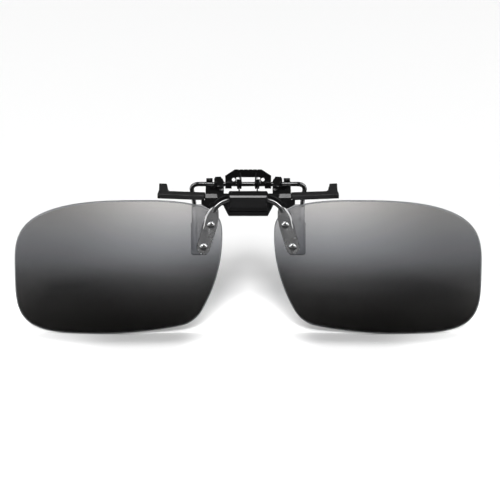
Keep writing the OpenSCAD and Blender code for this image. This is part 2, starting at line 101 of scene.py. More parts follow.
# ---------------------------------------------------------------- shader helpers
def add(tree, kind, *first, props=None, **inputs):
    """New shader node with its inputs given in order or by name.

    An input is a value, a socket, or a node whose first output is linked.
    """
    node = tree.nodes.new("ShaderNode" + kind)
    for name, value in (props or {}).items():
        setattr(node, name, value)      # first, as a node's mode decides which inputs it has
    named = [(name.replace("_", " "), value) for name, value in inputs.items()]
    for key, value in list(enumerate(first)) + named:
        if isinstance(value, bpy.types.Node):
            value = value.outputs[0]
        if isinstance(value, bpy.types.NodeSocket):
            tree.links.new(value, node.inputs[key])
        else:
            node.inputs[key].default_value = value
    return node


def calculate(tree, operation, *operands):
    return add(tree, "Math", *operands, props=dict(operation=operation))


def vector_math(tree, operation, *operands, **inputs):
    return add(tree, "VectorMath", *operands, props=dict(operation=operation), **inputs)


def map_range(tree, value, source, target=(0.0, 1.0), interpolation="SMOOTHSTEP"):
    return add(tree, "MapRange", props=dict(interpolation_type=interpolation), Value=value,
               From_Min=source[0], From_Max=source[1], To_Min=target[0], To_Max=target[1])


def ramp(tree, factor, stops):
    """Colour ramp; each stop is (position, RGBA or grey level)."""
    node = add(tree, "ValToRGB", factor)
    elements = node.color_ramp.elements
    while len(elements) < len(stops):
        elements.new(0.5)
    for element, (position, colour) in zip(elements, stops):
        element.position = position
        element.color = colour if hasattr(colour, "__len__") else (colour, colour, colour, 1)
    return node


def mottle(tree, pattern, low, high, high_at=0.7):
    """Spread the middle of a noise pattern between two colours or levels."""
    return ramp(tree, pattern, [(0.3, low), (high_at, high)])


def object_coordinates(tree):
    coordinates = add(tree, "TexCoord")
    return add(tree, "Mapping", Vector=coordinates.outputs["Object"])


def noise(tree, coordinates, scale, detail):
    return add(tree, "TexNoise", Vector=coordinates, Scale=scale, Detail=detail)


def bump(tree, height, strength, distance):
    return add(tree, "Bump", Height=height, Strength=strength, Distance=distance)


def shade(base, factor):
    """RGBA of a base colour made darker or lighter."""
    return tuple(min(1, channel * factor) for channel in base) + (1,)


def new_material(name):
    material = bpy.data.materials.new(name)
    material.use_nodes = True
    material.node_tree.nodes.clear()
    return material, material.node_tree


# ---------------------------------------------------------------- material kinds
def plastic(name, base, rough, specular, wear, coat=0.0, grain=3500.0, grain_bump=0.2):
    """Moulded plastic: fine mould texture, slow gloss variation, slightly lighter edges."""
    material, tree = new_material(name)
    coordinates = object_coordinates(tree)
    slow = noise(tree, coordinates, scale=260.0, detail=3.0)
    fine = noise(tree, coordinates, scale=grain, detail=2.0)
    colour = mottle(tree, slow, shade(base, 0.82), shade(base, 1.18))
    # edge wear: where the rounded normal leaves the face normal
    rounded = add(tree, "Bevel", props=dict(samples=4), Radius=0.00012)
    geometry = add(tree, "NewGeometry")
    agreement = vector_math(tree, "DOT_PRODUCT", rounded, geometry.outputs["Normal"])
    edges = ramp(tree, agreement.outputs["Value"], [(0.80, 1.0), (0.985, 0.0)])
    worn = add(tree, "Mix", props=dict(data_type="RGBA"), A=colour, B=(0.11, 0.11, 0.115, 1),
               Factor=calculate(tree, "MULTIPLY", edges, wear))
    surface = add(tree, "BsdfPrincipled", IOR=1.5, Specular_IOR_Level=specular,
                  Coat_Weight=coat, Coat_Roughness=0.08, Base_Color=worn.outputs["Result"],
                  Roughness=mottle(tree, slow, rough * 0.9, rough * 1.1),
                  Normal=bump(tree, fine, strength=grain_bump, distance=0.00001))
    add(tree, "OutputMaterial", surface)
    return material


def metal_surface(tree, base, rough, scratch):
    """Polished steel with a fine grain and faint smudges."""
    coordinates = object_coordinates(tree)
    slow = noise(tree, coordinates, scale=400.0, detail=3.0)
    fine = noise(tree, coordinates, scale=4200.0, detail=2.0)
    return add(tree, "BsdfPrincipled", Metallic=1.0,
               Base_Color=mottle(tree, slow, shade(base, 0.93), shade(base, 1.04)),
               Roughness=mottle(tree, slow, rough * 0.7, rough * 1.5, high_at=0.72),
               Normal=bump(tree, fine, strength=scratch, distance=0.000006))


def metal(name, base, rough, scratch=0.25):
    material, tree = new_material(name)
    add(tree, "OutputMaterial", metal_surface(tree, base, rough, scratch))
    return material


def satin(name, base, rough, matte, scratch):
    """Steel with a share of matte surface mixed in."""
    material, tree = new_material(name)
    polished = metal_surface(tree, base, rough, scratch)
    grain = noise(tree, object_coordinates(tree), scale=1800.0, detail=3.0)
    dull = add(tree, "BsdfDiffuse", Color=mottle(tree, grain, shade(base, 0.96), shade(base, 1.03)))
    add(tree, "OutputMaterial", add(tree, "MixShader", matte, polished, dull))
    return material


def clear(name, tint, rough, see):
    """Translucent silicone or clear plastic; see is the share that passes straight through."""
    material, tree = new_material(name)
    cloud = noise(tree, object_coordinates(tree), scale=900.0, detail=3.0)
    relief = bump(tree, cloud, strength=0.2, distance=0.00002)
    straight = add(tree, "BsdfTransparent", Color=tint + (1,))
    sheen = add(tree, "BsdfGlossy", Roughness=rough, Color=(0.9, 0.9, 0.9, 1), Normal=relief)
    scatter = add(tree, "BsdfTranslucent", Color=(0.75, 0.76, 0.78, 1))
    dull = add(tree, "BsdfDiffuse", Color=(0.55, 0.56, 0.58, 1), Normal=relief)
    milk = add(tree, "MixShader", 0.5, scatter, dull)
    milkiness = mottle(tree, cloud, 1 - see - 0.05, 1 - see + 0.05)
    body = add(tree, "MixShader", milkiness, straight, milk)
    reflectance = add(tree, "Fresnel", IOR=1.42, Normal=relief)
    add(tree, "OutputMaterial", add(tree, "MixShader", reflectance, body, sheen))
    return material


# share of the lens height from the bottom, transmittance of one surface (the light crosses two)
TINT = [(0.0, 0.150), (0.13, 0.160), (0.27, 0.21), (0.40, 0.305), (0.53, 0.415),
        (0.68, 0.515), (0.84, 0.635), (1.0, 0.74)]
OUTER_DARKENING = (0.76, 0.66)           # further factor at the outer end: lower part, top
OUTER_DARKENING_X = (0.020, 0.060)       # m from the middle, over which it comes in
OUTER_DARKENING_HEIGHT = (0.55, 1.0)     # share of the height, from lower part to top


def dye(height, level):
    """RGBA of the tint: neutral at the top, a little cooler towards the middle."""
    cool = max(0.0, 1 - abs(height - 0.6) / 0.4)
    return (level * (1.015 - 0.035 * cool), level * (1.0 - 0.005 * cool),
            level * (0.985 + 0.045 * cool), 1)


def lens_material():
    """Gradient tint, light at the top to almost black at the bottom, with a thin reflection."""
    material, tree = new_material("tinted_lens")
    place = add(tree, "TexCoord").outputs["Object"]
    axes = add(tree, "SeparateXYZ", place)
    height = map_range(tree, axes.outputs["Z"], interpolation="LINEAR",
                       source=(FLIP.z + LENS_BOTTOM * MM, FLIP.z + LENS_TOP * MM))
    # a faint drift of the dye, so that the gradient isn't a perfect ramp
    cloud = noise(tree, place, scale=45.0, detail=2.0)
    drift = calculate(tree, "MULTIPLY_ADD", cloud, 0.02, -0.01)
    drifted = calculate(tree, "ADD", height, drift)
    gradient = ramp(tree, drifted, [(share, dye(share, level)) for share, level in TINT])
    # darker towards the outer end, most of all near the top
    outward = map_range(tree, calculate(tree, "ABSOLUTE", axes.outputs["X"]), OUTER_DARKENING_X)
    depth = map_range(tree, height, OUTER_DARKENING_HEIGHT, OUTER_DARKENING)
    factor = add(tree, "Mix", props=dict(data_type="FLOAT"), Factor=outward, A=1.0, B=depth)
    tinted = vector_math(tree, "SCALE", gradient, Scale=factor)
    glass = add(tree, "BsdfTransparent", Color=tinted)
    sheen = add(tree, "BsdfGlossy", Roughness=0.03)
    reflectance = add(tree, "Fresnel", IOR=1.15)
    add(tree, "OutputMaterial", add(tree, "MixShader", reflectance, glass, sheen))
    return material


def lens_edge_material():
    """Ground and polished lens edge: glassy, grey."""
    material, tree = new_material("lens_edge")
    grain = noise(tree, object_coordinates(tree), scale=1500.0, detail=2.0)
    surface = add(tree, "BsdfPrincipled", Base_Color=(0.20, 0.205, 0.21, 1), Roughness=0.3)
    tree.links.new(mottle(tree, grain, 0.22, 0.42).outputs[0], surface.inputs["Roughness"])
    through = add(tree, "BsdfTransparent", Color=(0.6, 0.61, 0.62, 1))
    add(tree, "OutputMaterial", add(tree, "MixShader", 0.6, through, surface))
    return material


# ---------------------------------------------------------------- materials
BLACK = (0.004, 0.004, 0.0042)
STEEL = (0.80, 0.80, 0.81)
base_plastic = plastic("black_plastic", BLACK, rough=0.18, specular=0.5, wear=0.12, coat=0.1)
gloss_plastic = plastic("black_gloss_plastic", (0.006, 0.006, 0.0065), rough=0.14, specular=0.4,
                        wear=0.15, coat=0.35, grain_bump=0.1)
rubber = plastic("black_rubber", (0.020, 0.020, 0.0205), rough=0.20, specular=0.6, wear=0.1,
                 grain=2600.0, grain_bump=0.4)
lever_plastic = plastic("black_lever", BLACK, rough=0.22, specular=0.35, wear=0.12, coat=0.2)
bridge_steel = metal("polished_wire", STEEL, rough=0.09)
# painted shade: the same polished steel as the bridge wire, with its colour darkened so the claw
# wire reads dark
claw_steel_painted_dark = metal("claw_wire_painted_dark", (0.34, 0.34, 0.345), rough=0.10)
screw_steel = metal("polished_screw", (0.86, 0.86, 0.87), rough=0.07)
spring_steel = metal("spring_steel", (0.035, 0.035, 0.037), rough=0.38, scratch=0.5)
leaf_steel = satin("satin_leaf", (0.75, 0.75, 0.76), rough=0.20, matte=0.085, scratch=0.04)
# painted highlight: the leaf's steel, made mostly pale and matte so the rolled edge shows as a
# bright line
rim_steel_painted_highlight = satin("rolled_edge_painted_highlight", STEEL, rough=0.30, matte=0.62, scratch=0.05)
# painted light: the same steel, made mostly pale and matte so the covered wire reads as light as the
# silicone around it
covered_steel_painted_pale = satin("wire_under_silicone_painted_pale", STEEL, rough=0.35, matte=0.85, scratch=0.4)
silicone = clear("clear_silicone", (0.965, 0.96, 0.95), rough=0.22, see=0.50)
clear_plastic = clear("clear_plastic", (0.93, 0.94, 0.95), rough=0.08, see=0.80)
lens_glass = lens_material()
lens_edge = lens_edge_material()


# ---------------------------------------------------------------- mesh helpers
def shade_smooth(mesh, sharp_angle=None):
    """Smooth shading, with edges above sharp_angle (degrees) kept sharp."""
    mesh.shade_smooth()
    if sharp_angle:
        mesh.set_sharp_from_angle(angle=math.radians(sharp_angle))


def link(name, mesh, materials, body=None, sharp_angle=None):
    """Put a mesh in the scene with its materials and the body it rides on."""
    obj = bpy.data.objects.new(name, mesh)
    scene.collection.objects.link(obj)
    for material in materials:
        mesh.materials.append(material)
    shade_smooth(mesh, sharp_angle)
    if body:
        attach(obj, body)
    return obj


def finish_mesh(bm, name, mirror=False):
    if mirror:
        bm.transform(MIRROR)
    bmesh.ops.recalc_face_normals(bm, faces=bm.faces)
    mesh = bpy.data.meshes.new(name)
    bm.to_mesh(mesh)
    bm.free()
    return mesh


def apply_modifiers(obj):
    depsgraph = bpy.context.evaluated_depsgraph_get()
    mesh = bpy.data.meshes.new_from_object(obj.evaluated_get(depsgraph))
    old = obj.data
    obj.modifiers.clear()
    obj.data = mesh
    bpy.data.meshes.remove(old)


def revolve(profile, segments):
    """Bmesh turned about +z from a list of (radius, z) in mm."""
    bm = bmesh.new()
    rings = []
    for radius, z in profile:
        if radius < 1e-6:
            rings.append([bm.verts.new((0, 0, z * MM))])
            continue
        angles = [2 * math.pi * i / segments for i in range(segments)]
        rings.append([bm.verts.new((radius * MM * math.cos(angle), radius * MM * math.sin(angle),
                                    z * MM)) for angle in angles])
    for low, high in zip(rings, rings[1:]):
        for i in range(segments):
            j = (i + 1) % segments
            if len(low) == 1:
                bm.faces.new((low[0], high[i], high[j]))
            elif len(high) == 1:
                bm.faces.new((low[i], high[0], low[j]))
            else:
                bm.faces.new((low[i], low[j], high[j], high[i]))
    return bm


def catmull_rom(a, b, c, d, t):
    """Point at share t of the way from b to c, with a and d as neighbours."""
    return 0.5 * ((2 * b) + (c - a) * t + (2 * a - 5 * b + 4 * c - d) * t * t
                  + (3 * b - a - 3 * c + d) * t * t * t)


def smooth_path(stations, steps):
    """Curve through the stations, with this many steps between neighbours."""
    stations = [Vector(station) for station in stations]
    last = len(stations) - 1
    path = []
    for i in range(last):
        around = (stations[max(0, i - 1)], stations[i], stations[i + 1],
                  stations[min(last, i + 2)])
        path += [catmull_rom(*around, j / steps) for j in range(steps)]
    return path + [stations[-1]]


def both_halves(half):
    """Whole path from the half that starts at x = 0 and runs to -x."""
    return [(-p[0], p[1], p[2]) for p in reversed(half[1:])] + half


def end_cap(point, outward, radius):
    """Rings (centre, radius) that round off a wire end, from the wire outwards."""
    rings = []
    for degrees in (20, 40, 60, 80):
        angle = math.radians(degrees)
        share = 0.5 if degrees == 80 else 0.55 + 0.45 * math.cos(angle)
        rings.append((point + outward * radius * 0.45 * math.sin(angle), radius * share))
    return rings


def tube(path, radii, segments, side=(0, 1, 0.13)):
    """Round wire along path (mm) with rounded ends.

    radii is one radius or one per point; side is the direction of each ring's first vertex.
    """
    bm = bmesh.new()
    path = [Vector(point) for point in path]
    last = len(path) - 1
    if not isinstance(radii, list):
        radii = [radii] * len(path)
    tangents = [(path[min(last, i + 1)] - path[max(0, i - 1)]).normalized()
                for i in range(len(path))]
    start = end_cap(path[0], -tangents[0], radii[0])
    end = end_cap(path[-1], tangents[-1], radii[-1])
    stations = start[::-1] + list(zip(path, radii)) + end
    directions = [tangents[0]] * len(start) + tangents + [tangents[-1]] * len(end)
    u = Vector(side)
    u = (u - tangents[0] * u.dot(tangents[0])).normalized()
    angles = [2 * math.pi * k / segments for k in range(segments)]
    rings = []
    for (centre, radius), along in zip(stations, directions):
        u = (u - along * u.dot(along)).normalized()
        w = along.cross(u)
        rings.append([bm.verts.new((centre + (u * math.cos(angle) + w * math.sin(angle)) * radius)
                                   * MM) for angle in angles])
    for a, b in zip(rings, rings[1:]):
        for k in range(segments):
            j = (k + 1) % segments
            bm.faces.new((a[k], b[k], b[j], a[j]))
    for ring in (rings[0], rings[-1]):
        middle = bm.verts.new(sum((vert.co for vert in ring), Vector()) / segments)
        for k in range(segments):
            bm.faces.new((ring[k], ring[(k + 1) % segments], middle))
    return bm


# ---------------------------------------------------------------- CAD pieces that keep their mesh
def dress(name, material, bevel, segments=3):
    """Give a CAD piece its material, and weld and round its edges (bevel in mm)."""
    obj = cad_nodes[name]
    obj.data.materials.clear()
    obj.data.materials.append(material)
    for polygon in obj.data.polygons:
        polygon.material_index = 0
    weld = obj.modifiers.new("weld", "WELD")
    weld.merge_threshold = 0.000002
    rounding = obj.modifiers.new("round", "BEVEL")
    rounding.width = bevel * MM
    rounding.segments = segments
    rounding.limit_method = "ANGLE"
    rounding.angle_limit = math.radians(28)
    rounding.harden_normals = False
    rounding.use_clamp_overlap = True
    obj.data.shade_smooth()
    normals = obj.modifiers.new("normals", "WEIGHTED_NORMAL")
    normals.keep_sharp = True


dress("clip_base", base_plastic, bevel=0.10)
dress("hinge_cover", gloss_plastic, bevel=0.10)
dress("detent_spring", spring_steel, bevel=0.03, segments=2)
dress("flip_cam", spring_steel, bevel=0.06, segments=2)
dress("right_arm_sleeve", rubber, bevel=0.18)
dress("left_arm_sleeve", rubber, bevel=0.18)
dress("thumb_lever", lever_plastic, bevel=0.09)
for side, _ in SIDES:
    dress(side + "_lens_leaf", leaf_steel, bevel=0.30)
    dress(side + "_lens_nuts", screw_steel, bevel=0.08, segments=2)

# ---------------------------------------------------------------- lenses
# outline, x from the middle of the lens (nose side +x)
TOP_X, BOTTOM_X = 5.0, -6.5             # highest and lowest points
OUTER_Z = LENS_TOP - 20.4               # outermost point
NOSE_Z = LENS_TOP - 11.4                # nose extreme
NOSE_RADIUS, BOTTOM_RADIUS, CORNER_RADIUS = 44.0, 140.0, 9.0
QUARTER_STEPS, ARC_STEPS = 180, 80
OUTLINE_POINTS = 320
RIM_INSET = 0.30
# section across the edge: inset from the outline, face (0 front, 1 back), depth below that face
EDGE_PROFILE = [(RIM_INSET, 0, 0.0), (0.20, 0, 0.015), (0.08, 0, 0.09), (0.0, 0, 0.26),
                (0.0, 1, 0.26), (0.08, 1, 0.09), (0.20, 1, 0.015), (RIM_INSET, 1, 0.0)]
FACE_STEPS = 26                         # rings from rim to middle
HOLE_PROFILE = [(0, -3), (1.0, -3), (1.0, 4), (0, 4)]


def quarter(side_x, side_z, flat_x, flat_z, x_power, z_power):
    """Superellipse quarter from a side extreme towards a top or bottom extreme."""
    points = []
    for i in range(QUARTER_STEPS):
        angle = math.radians(90.0 * i / QUARTER_STEPS)
        points.append((flat_x + (side_x - flat_x) * math.cos(angle) ** (2 / x_power),
                       side_z + (flat_z - side_z) * math.sin(angle) ** (2 / z_power)))
    return points


def arc(centre, radius, angles):
    return [(centre.x + radius * math.cos(t), centre.y + radius * math.sin(t)) for t in angles]


def lens_outline():
    """(x, z) points, counter-clockwise from the nose extreme."""
    half = LENS_WIDTH / 2
    nose = Vector((half - NOSE_RADIUS, NOSE_Z))
    bottom = Vector((BOTTOM_X, LENS_BOTTOM + BOTTOM_RADIUS))
    # the corner arc touches the nose and bottom arcs from inside
    between = bottom - nose
    length = between.length
    nose_reach, bottom_reach = NOSE_RADIUS - CORNER_RADIUS, BOTTOM_RADIUS - CORNER_RADIUS
    along = (nose_reach * nose_reach - bottom_reach * bottom_reach + length * length) / (2 * length)
    across = math.sqrt(nose_reach * nose_reach - along * along)
    foot = nose + between * (along / length)
    normal = Vector((-between.y, between.x)) / length
    corner = max((foot + normal * across, foot - normal * across), key=lambda p: p.x - p.y)
    nose_angle = math.atan2(corner.y - nose.y, corner.x - nose.x)
    bottom_angle = math.atan2(corner.y - bottom.y, corner.x - bottom.x)
    down = -math.pi / 2
    n = ARC_STEPS

    points = quarter(half, NOSE_Z, TOP_X, LENS_TOP, 2.5, 3.1) + [(TOP_X, LENS_TOP)]
    points += reversed(quarter(-half, OUTER_Z, TOP_X, LENS_TOP, 2.5, 3.1))
    points += [p for p in quarter(-half, OUTER_Z, BOTTOM_X, LENS_BOTTOM, 3.8, 4.3)
               if p[1] < OUTER_Z - 0.01]
    points += [(BOTTOM_X, LENS_BOTTOM)]
    points += arc(bottom, BOTTOM_RADIUS,
                  [down + (bottom_angle - down) * i / n for i in range(1, n)])
    points += arc(corner, CORNER_RADIUS,
                  [bottom_angle + (nose_angle - bottom_angle) * i / n for i in range(n)])
    points += arc(nose, NOSE_RADIUS, [nose_angle * (1 - i / n) for i in range(n)])
    return points


def resample(points, count):
    """Points evenly spaced along a closed outline."""
    points = [Vector(point) for point in points]
    total = 0.0
    stretches = []      # distance at the start, length
    for a, b in zip(points, points[1:] + points[:1]):
        length = (b - a).length
        stretches.append((total, length))
        total += length
    even = []
    j = 0
    for i in range(count):
        distance = total * i / count
        while j < len(points) - 1 and sum(stretches[j]) < distance:
            j += 1
        start, length = stretches[j]
        share = (distance - start) / max(length, 1e-9)
        even.append(points[j].lerp(points[(j + 1) % len(points)], min(1.0, max(0.0, share))))
    return even


def lens_mesh(name, mirror):
    n = OUTLINE_POINTS
    outline = resample(lens_outline(), n)
    centre = Vector((0.0, (LENS_TOP + LENS_BOTTOM) / 2))
    bm = bmesh.new()

    def inset(i, distance):
        tangent = (outline[(i + 1) % n] - outline[(i - 1) % n]).normalized()
        outward = Vector((tangent.y, -tangent.x))
        return outline[i] - outward * distance

    def vert(point, face, depth):
        if face == 0:
            radius = LENS_RADIUS + LENS_THICKNESS - depth
        else:
            radius = LENS_RADIUS + depth
        y = LENS_AXIS_Y - math.sqrt(radius * radius - point.x * point.x)
        return bm.verts.new(FLIP_FRAME @ (Vector((LENS_X + point.x, y, point.y)) * MM))

    edge = [[vert(inset(i, distance), face, depth) for i in range(n)]
            for distance, face, depth in EDGE_PROFILE]
    for a, b in zip(edge, edge[1:]):
        for i in range(n):
            j = (i + 1) % n
            bm.faces.new((a[i], a[j], b[j], b[i])).material_index = 1
    for face, previous in ((0, edge[0]), (1, edge[-1])):
        for step in range(1, FACE_STEPS):
            share = 1 - step / FACE_STEPS
            ring = [vert(centre + (inset(i, RIM_INSET) - centre) * share, face, 0.0)
                    for i in range(n)]
            for i in range(n):
                j = (i + 1) % n
                bm.faces.new((previous[i], ring[i], ring[j], previous[j]))
            previous = ring
        middle = vert(centre, face, 0.0)
        for i in range(n):
            bm.faces.new((previous[i], middle, previous[(i + 1) % n]))
    return finish_mesh(bm, name, mirror)


def drill(obj, mirror):
    """Cut the screw holes through a lens."""
    cutters = []
    for screw_frame in SCREW_FRAMES:
        bm = revolve(HOLE_PROFILE, segments=48)
        bm.transform(screw_frame)
        cutter = bpy.data.objects.new("cut", finish_mesh(bm, "cut", mirror))
        scene.collection.objects.link(cutter)
        cutters.append(cutter)
        hole = obj.modifiers.new("hole", "BOOLEAN")
        hole.operation = "DIFFERENCE"
        hole.solver = "EXACT"
        hole.object = cutter
    apply_modifiers(obj)
    for cutter in cutters:
        bpy.data.objects.remove(cutter)


for side, mirror in SIDES:
    name = side + "_lens_glass"
    lens = link(name, lens_mesh(name, mirror), [lens_glass, lens_edge])
    drill(lens, mirror)
    shade_smooth(lens.data, sharp_angle=40)
    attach(lens, "flip_lenses")
    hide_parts(side + "_lens")

# ---------------------------------------------------------------- screws and washers
# (radius, z), with z = 0 at the back face of the lens
SCREW_PROFILE = [
    (0, -1.39), (0.45, -1.39), (0.6, -1.24), (0.6, 2.06), (1.05, 2.06), (1.15, 2.12), (1.15, 2.18),
    (1.09, 2.32), (0.95, 2.50), (0.74, 2.66), (0.48, 2.77), (0.22, 2.81), (0, 2.815)]
WASHER_PROFILE = [
    (0.62, -0.23), (1.32, -0.23), (1.38, -0.18), (1.38, -0.06), (1.32, -0.01), (0.97, -0.01),
    (0.97, 1.07), (0.62, 1.07), (0.62, -0.23)]


def turned_at_screws(profile):
    """One bmesh with a turned piece at each screw of a leaf."""
    total = bmesh.new()
    for screw_frame in SCREW_FRAMES:
        bm = revolve(profile, segments=56)
        bm.transform(screw_frame)
        single = bpy.data.meshes.new("turned")
        bm.to_mesh(single)
        bm.free()
        total.from_mesh(single)
        bpy.data.meshes.remove(single)
    bmesh.ops.remove_doubles(total, verts=total.verts, dist=1e-8)
    return total


for side, mirror in SIDES:
    for name, profile, material, slot in (
            ("screws", SCREW_PROFILE, screw_steel, "polished_screw"),
            ("washers", WASHER_PROFILE, clear_plastic, "clear_plastic")):
        mesh = finish_mesh(turned_at_screws(profile), side + "_" + name, mirror)
        turned = link(side + "_lens_" + name + "_turned", mesh, [material], "flip_lenses",
                      sharp_angle=35)
        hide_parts(side + "_lens_" + name)

# ---------------------------------------------------------------- bridge wire
BRIDGE_WIRE_RADIUS = 0.7
BRIDGE_STRAIGHT = 4.6       # straight length each side of the middle
BRIDGE_BEND_RADIUS = 6.0
BRIDGE_BEND = 56.0          # degrees
BRIDGE_END_STEPS = (0.25, 0.5, 0.75, 1.0)
FLAT_START, FLAT_LENGTH, FLAT_SHARE = 1.6, 1.7, 0.30    # below the axis, run-in, thickness lost


def bridge_path():
    half = [(-BRIDGE_STRAIGHT * i / 6, 0, 0) for i in range(6)]
    for i in range(29):
        angle = math.radians(BRIDGE_BEND * i / 28)
        half.append((-BRIDGE_STRAIGHT - BRIDGE_BEND_RADIUS * math.sin(angle), 0,
                     -BRIDGE_BEND_RADIUS * (1 - math.cos(angle))))
    bend_end = Vector(half[-1])
    bend = math.radians(BRIDGE_BEND)
    onward = Vector((-math.cos(bend), 0, -math.sin(bend)))
    half += [bend_end + onward * distance for distance in BRIDGE_END_STEPS]
    return both_halves(half)


def bridge_wire():
    bm = tube(bridge_path(), BRIDGE_WIRE_RADIUS, segments=32)
    # the ends are pressed flat, to lie level with the leaf
    for vert in bm.verts:
        down = -vert.co.z / MM
        t = min(1.0, max(0.0, (down - FLAT_START) / FLAT_LENGTH))
        vert.co.y *= 1.0 - FLAT_SHARE * t * t * (3 - 2 * t)
    bm.transform(FLIP_FRAME)
    wire = link("bridge_wire_polished", finish_mesh(bm, "bridge_wire"), [bridge_steel],
                "flip_lenses")
    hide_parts("bridge_wire")


bridge_wire()

# ---------------------------------------------------------------- rolled outer edge of each leaf
ROLL_RADIUS = 0.24
# x, y, z in the leaf's frame, from the top down
ROLL_STATIONS = [
    (1.55, -1.93, -2.12), (0.95, -1.95, -2.62), (0.40, -1.95, -3.30), (-0.26, -1.95, -4.35),
    (-0.62, -1.95, -5.5), (-0.90, -1.95, -6.9), (-1.15, -1.95, -8.0), (-1.33, -1.95, -8.9)]


def rolled_edge(side, mirror):
    path = smooth_path(ROLL_STATIONS, steps=8)
    last = len(path) - 1
    # tapered at both ends, more quickly at the top
    radii = [ROLL_RADIUS * min(1.0, 0.35 + 4.0 * i / last, 0.30 + 1.5 * (1 - i / last))
             for i in range(len(path))]
    bm = tube(path, radii, segments=16)
    bm.transform(LEAF_FRAME)
    name = side + "_leaf_rolled_edge"
    link(name, finish_mesh(bm, name, mirror), [rim_steel_painted_highlight], "flip_lenses")


for side, mirror in SIDES:
    rolled_edge(side, mirror)

# ---------------------------------------------------------------- claw wire
CLAW_WIRE_RADIUS = 0.65
CLAW_OUTER_X, CLAW_INNER_X = 15.6, 12.9     # the two legs of each claw
CLAW_Y = 6.1                                # of the straight lower legs
CLAW_BEND_RADIUS = (CLAW_OUTER_X - CLAW_INNER_X) / 2
CLAW_MIDDLE_X = (CLAW_OUTER_X + CLAW_INNER_X) / 2
CLAW_BEND_Z = AXLE_Z - 19.6 + CLAW_BEND_RADIUS
COVERED_BELOW = -5.8                        # z under which the wire lies in silicone
# x, y, z: out from the axle, over the shoulder and down the outer leg
OUTER_LEG = [
    (-13.6, AXLE_Y, AXLE_Z), (-14.3, AXLE_Y, AXLE_Z), (-15.15, AXLE_Y, AXLE_Z - 0.12),
    (-15.9, AXLE_Y, AXLE_Z - 0.5), (-16.3, AXLE_Y, AXLE_Z - 1.15),
    (-16.3, AXLE_Y - 0.06, AXLE_Z - 1.9), (-15.85, AXLE_Y - 0.4, -3.5),
    (-CLAW_OUTER_X, AXLE_Y - 1.6, -6.5), (-CLAW_OUTER_X, CLAW_Y + 0.15, -9.2),
    (-CLAW_OUTER_X, CLAW_Y, -10.2), (-CLAW_OUTER_X, CLAW_Y, -11.2),
    (-CLAW_OUTER_X, CLAW_Y, CLAW_BEND_Z)]
# up the inner leg to its free end
INNER_LEG = [
    (-CLAW_INNER_X, CLAW_Y, CLAW_BEND_Z), (-CLAW_INNER_X, CLAW_Y, -11.2),
    (-CLAW_INNER_X, CLAW_Y, -10.2), (-CLAW_INNER_X, CLAW_Y + 0.15, -9.2),
    (-12.5, AXLE_Y - 1.4, -6.5), (-11.9, AXLE_Y + 0.35, -3.9), (-11.65, AXLE_Y + 1.0, -2.3)]


def claw_wire():
    half = [Vector((x, AXLE_Y, AXLE_Z)) for x in (0, -3.0, -6.0, -9.0, -11.5)]
    half += smooth_path(OUTER_LEG, steps=10)
    for degrees in range(9, 180, 9):
        angle = math.radians(degrees)
        half.append(Vector((-CLAW_MIDDLE_X - CLAW_BEND_RADIUS * math.cos(angle), CLAW_Y,
                            CLAW_BEND_Z - CLAW_BEND_RADIUS * math.sin(angle))))
    half += smooth_path(INNER_LEG, steps=10)
    mesh = finish_mesh(tube(both_halves(half), CLAW_WIRE_RADIUS, segments=28), "claw_wire")
    wire = link("claw_wire_polished", mesh, [claw_steel_painted_dark, covered_steel_painted_pale], "jaw")
    # painted light: the faces in the silicone take the pale copy of the steel
    for polygon in mesh.polygons:
        polygon.material_index = 1 if polygon.center.z < COVERED_BELOW * MM else 0
    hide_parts("claw_wire")
    return wire


claw = claw_wire()

# ---------------------------------------------------------------- torsion springs
COIL_RADIUS, SPRING_WIRE_RADIUS = 1.24, 0.2
COIL_TURNS, COIL_STEPS = 2.72, 150
COIL_OUTER_X, COIL_LENGTH = 3.24, 1.14
FOOT_Z = 1.6 + SPRING_WIRE_RADIUS           # wire centre where the foot rests at z = 1.6
TAIL_LEAN = math.radians(20)
TAIL_UP = Vector((0, math.sin(TAIL_LEAN), math.cos(TAIL_LEAN)))
TAIL_FRONT = Vector((0, -math.cos(TAIL_LEAN), math.sin(TAIL_LEAN)))
# x, distance up and distance to the front from the axle
TAIL_STATIONS = [(-2.1, 1.2, 1.08), (-2.2, 2.2, 0.7), (-2.3, 3.2, 0.68)]


def spring_path():
    foot = smooth_path([(-2.6, -0.35, FOOT_Z + 0.02), (-2.62, 0.6, FOOT_Z + 0.02),
                        (-2.75, 2.5, FOOT_Z + 0.06),
                        (-3.15, 6.6, AXLE_Z + COIL_RADIUS + 0.06)], steps=8)
    coil = []
    for i in range(COIL_STEPS + 1):
        angle = 2 * math.pi * COIL_TURNS * i / COIL_STEPS
        coil.append(Vector((-COIL_OUTER_X + COIL_LENGTH * i / COIL_STEPS,
                            AXLE_Y + COIL_RADIUS * math.sin(angle),
                            AXLE_Z + COIL_RADIUS * math.cos(angle))))
    axle = Vector((0, AXLE_Y, AXLE_Z))
    tail = [coil[-1] + TAIL_UP * 0.35 + Vector((0.02, 0, 0))]
    tail += [Vector((x, 0, 0)) + axle + TAIL_UP * up + TAIL_FRONT * front
             for x, up, front in TAIL_STATIONS]
    return foot + coil + smooth_path(tail, steps=6)


for side, mirror in SIDES:
    bm = tube(spring_path(), SPRING_WIRE_RADIUS, segments=14, side=(1, 0.1, 0))
    spring = link(side + "_torsion_spring_coil", finish_mesh(bm, side + "_spring", mirror),
                  [spring_steel])
    sign = 1 if mirror else -1
    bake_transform(spring)
    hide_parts(side + "_torsion_spring")

# ---------------------------------------------------------------- silicone pads
for side, _ in SIDES:
    dress(side + "_rear_pad", silicone, bevel=0.30, segments=4)

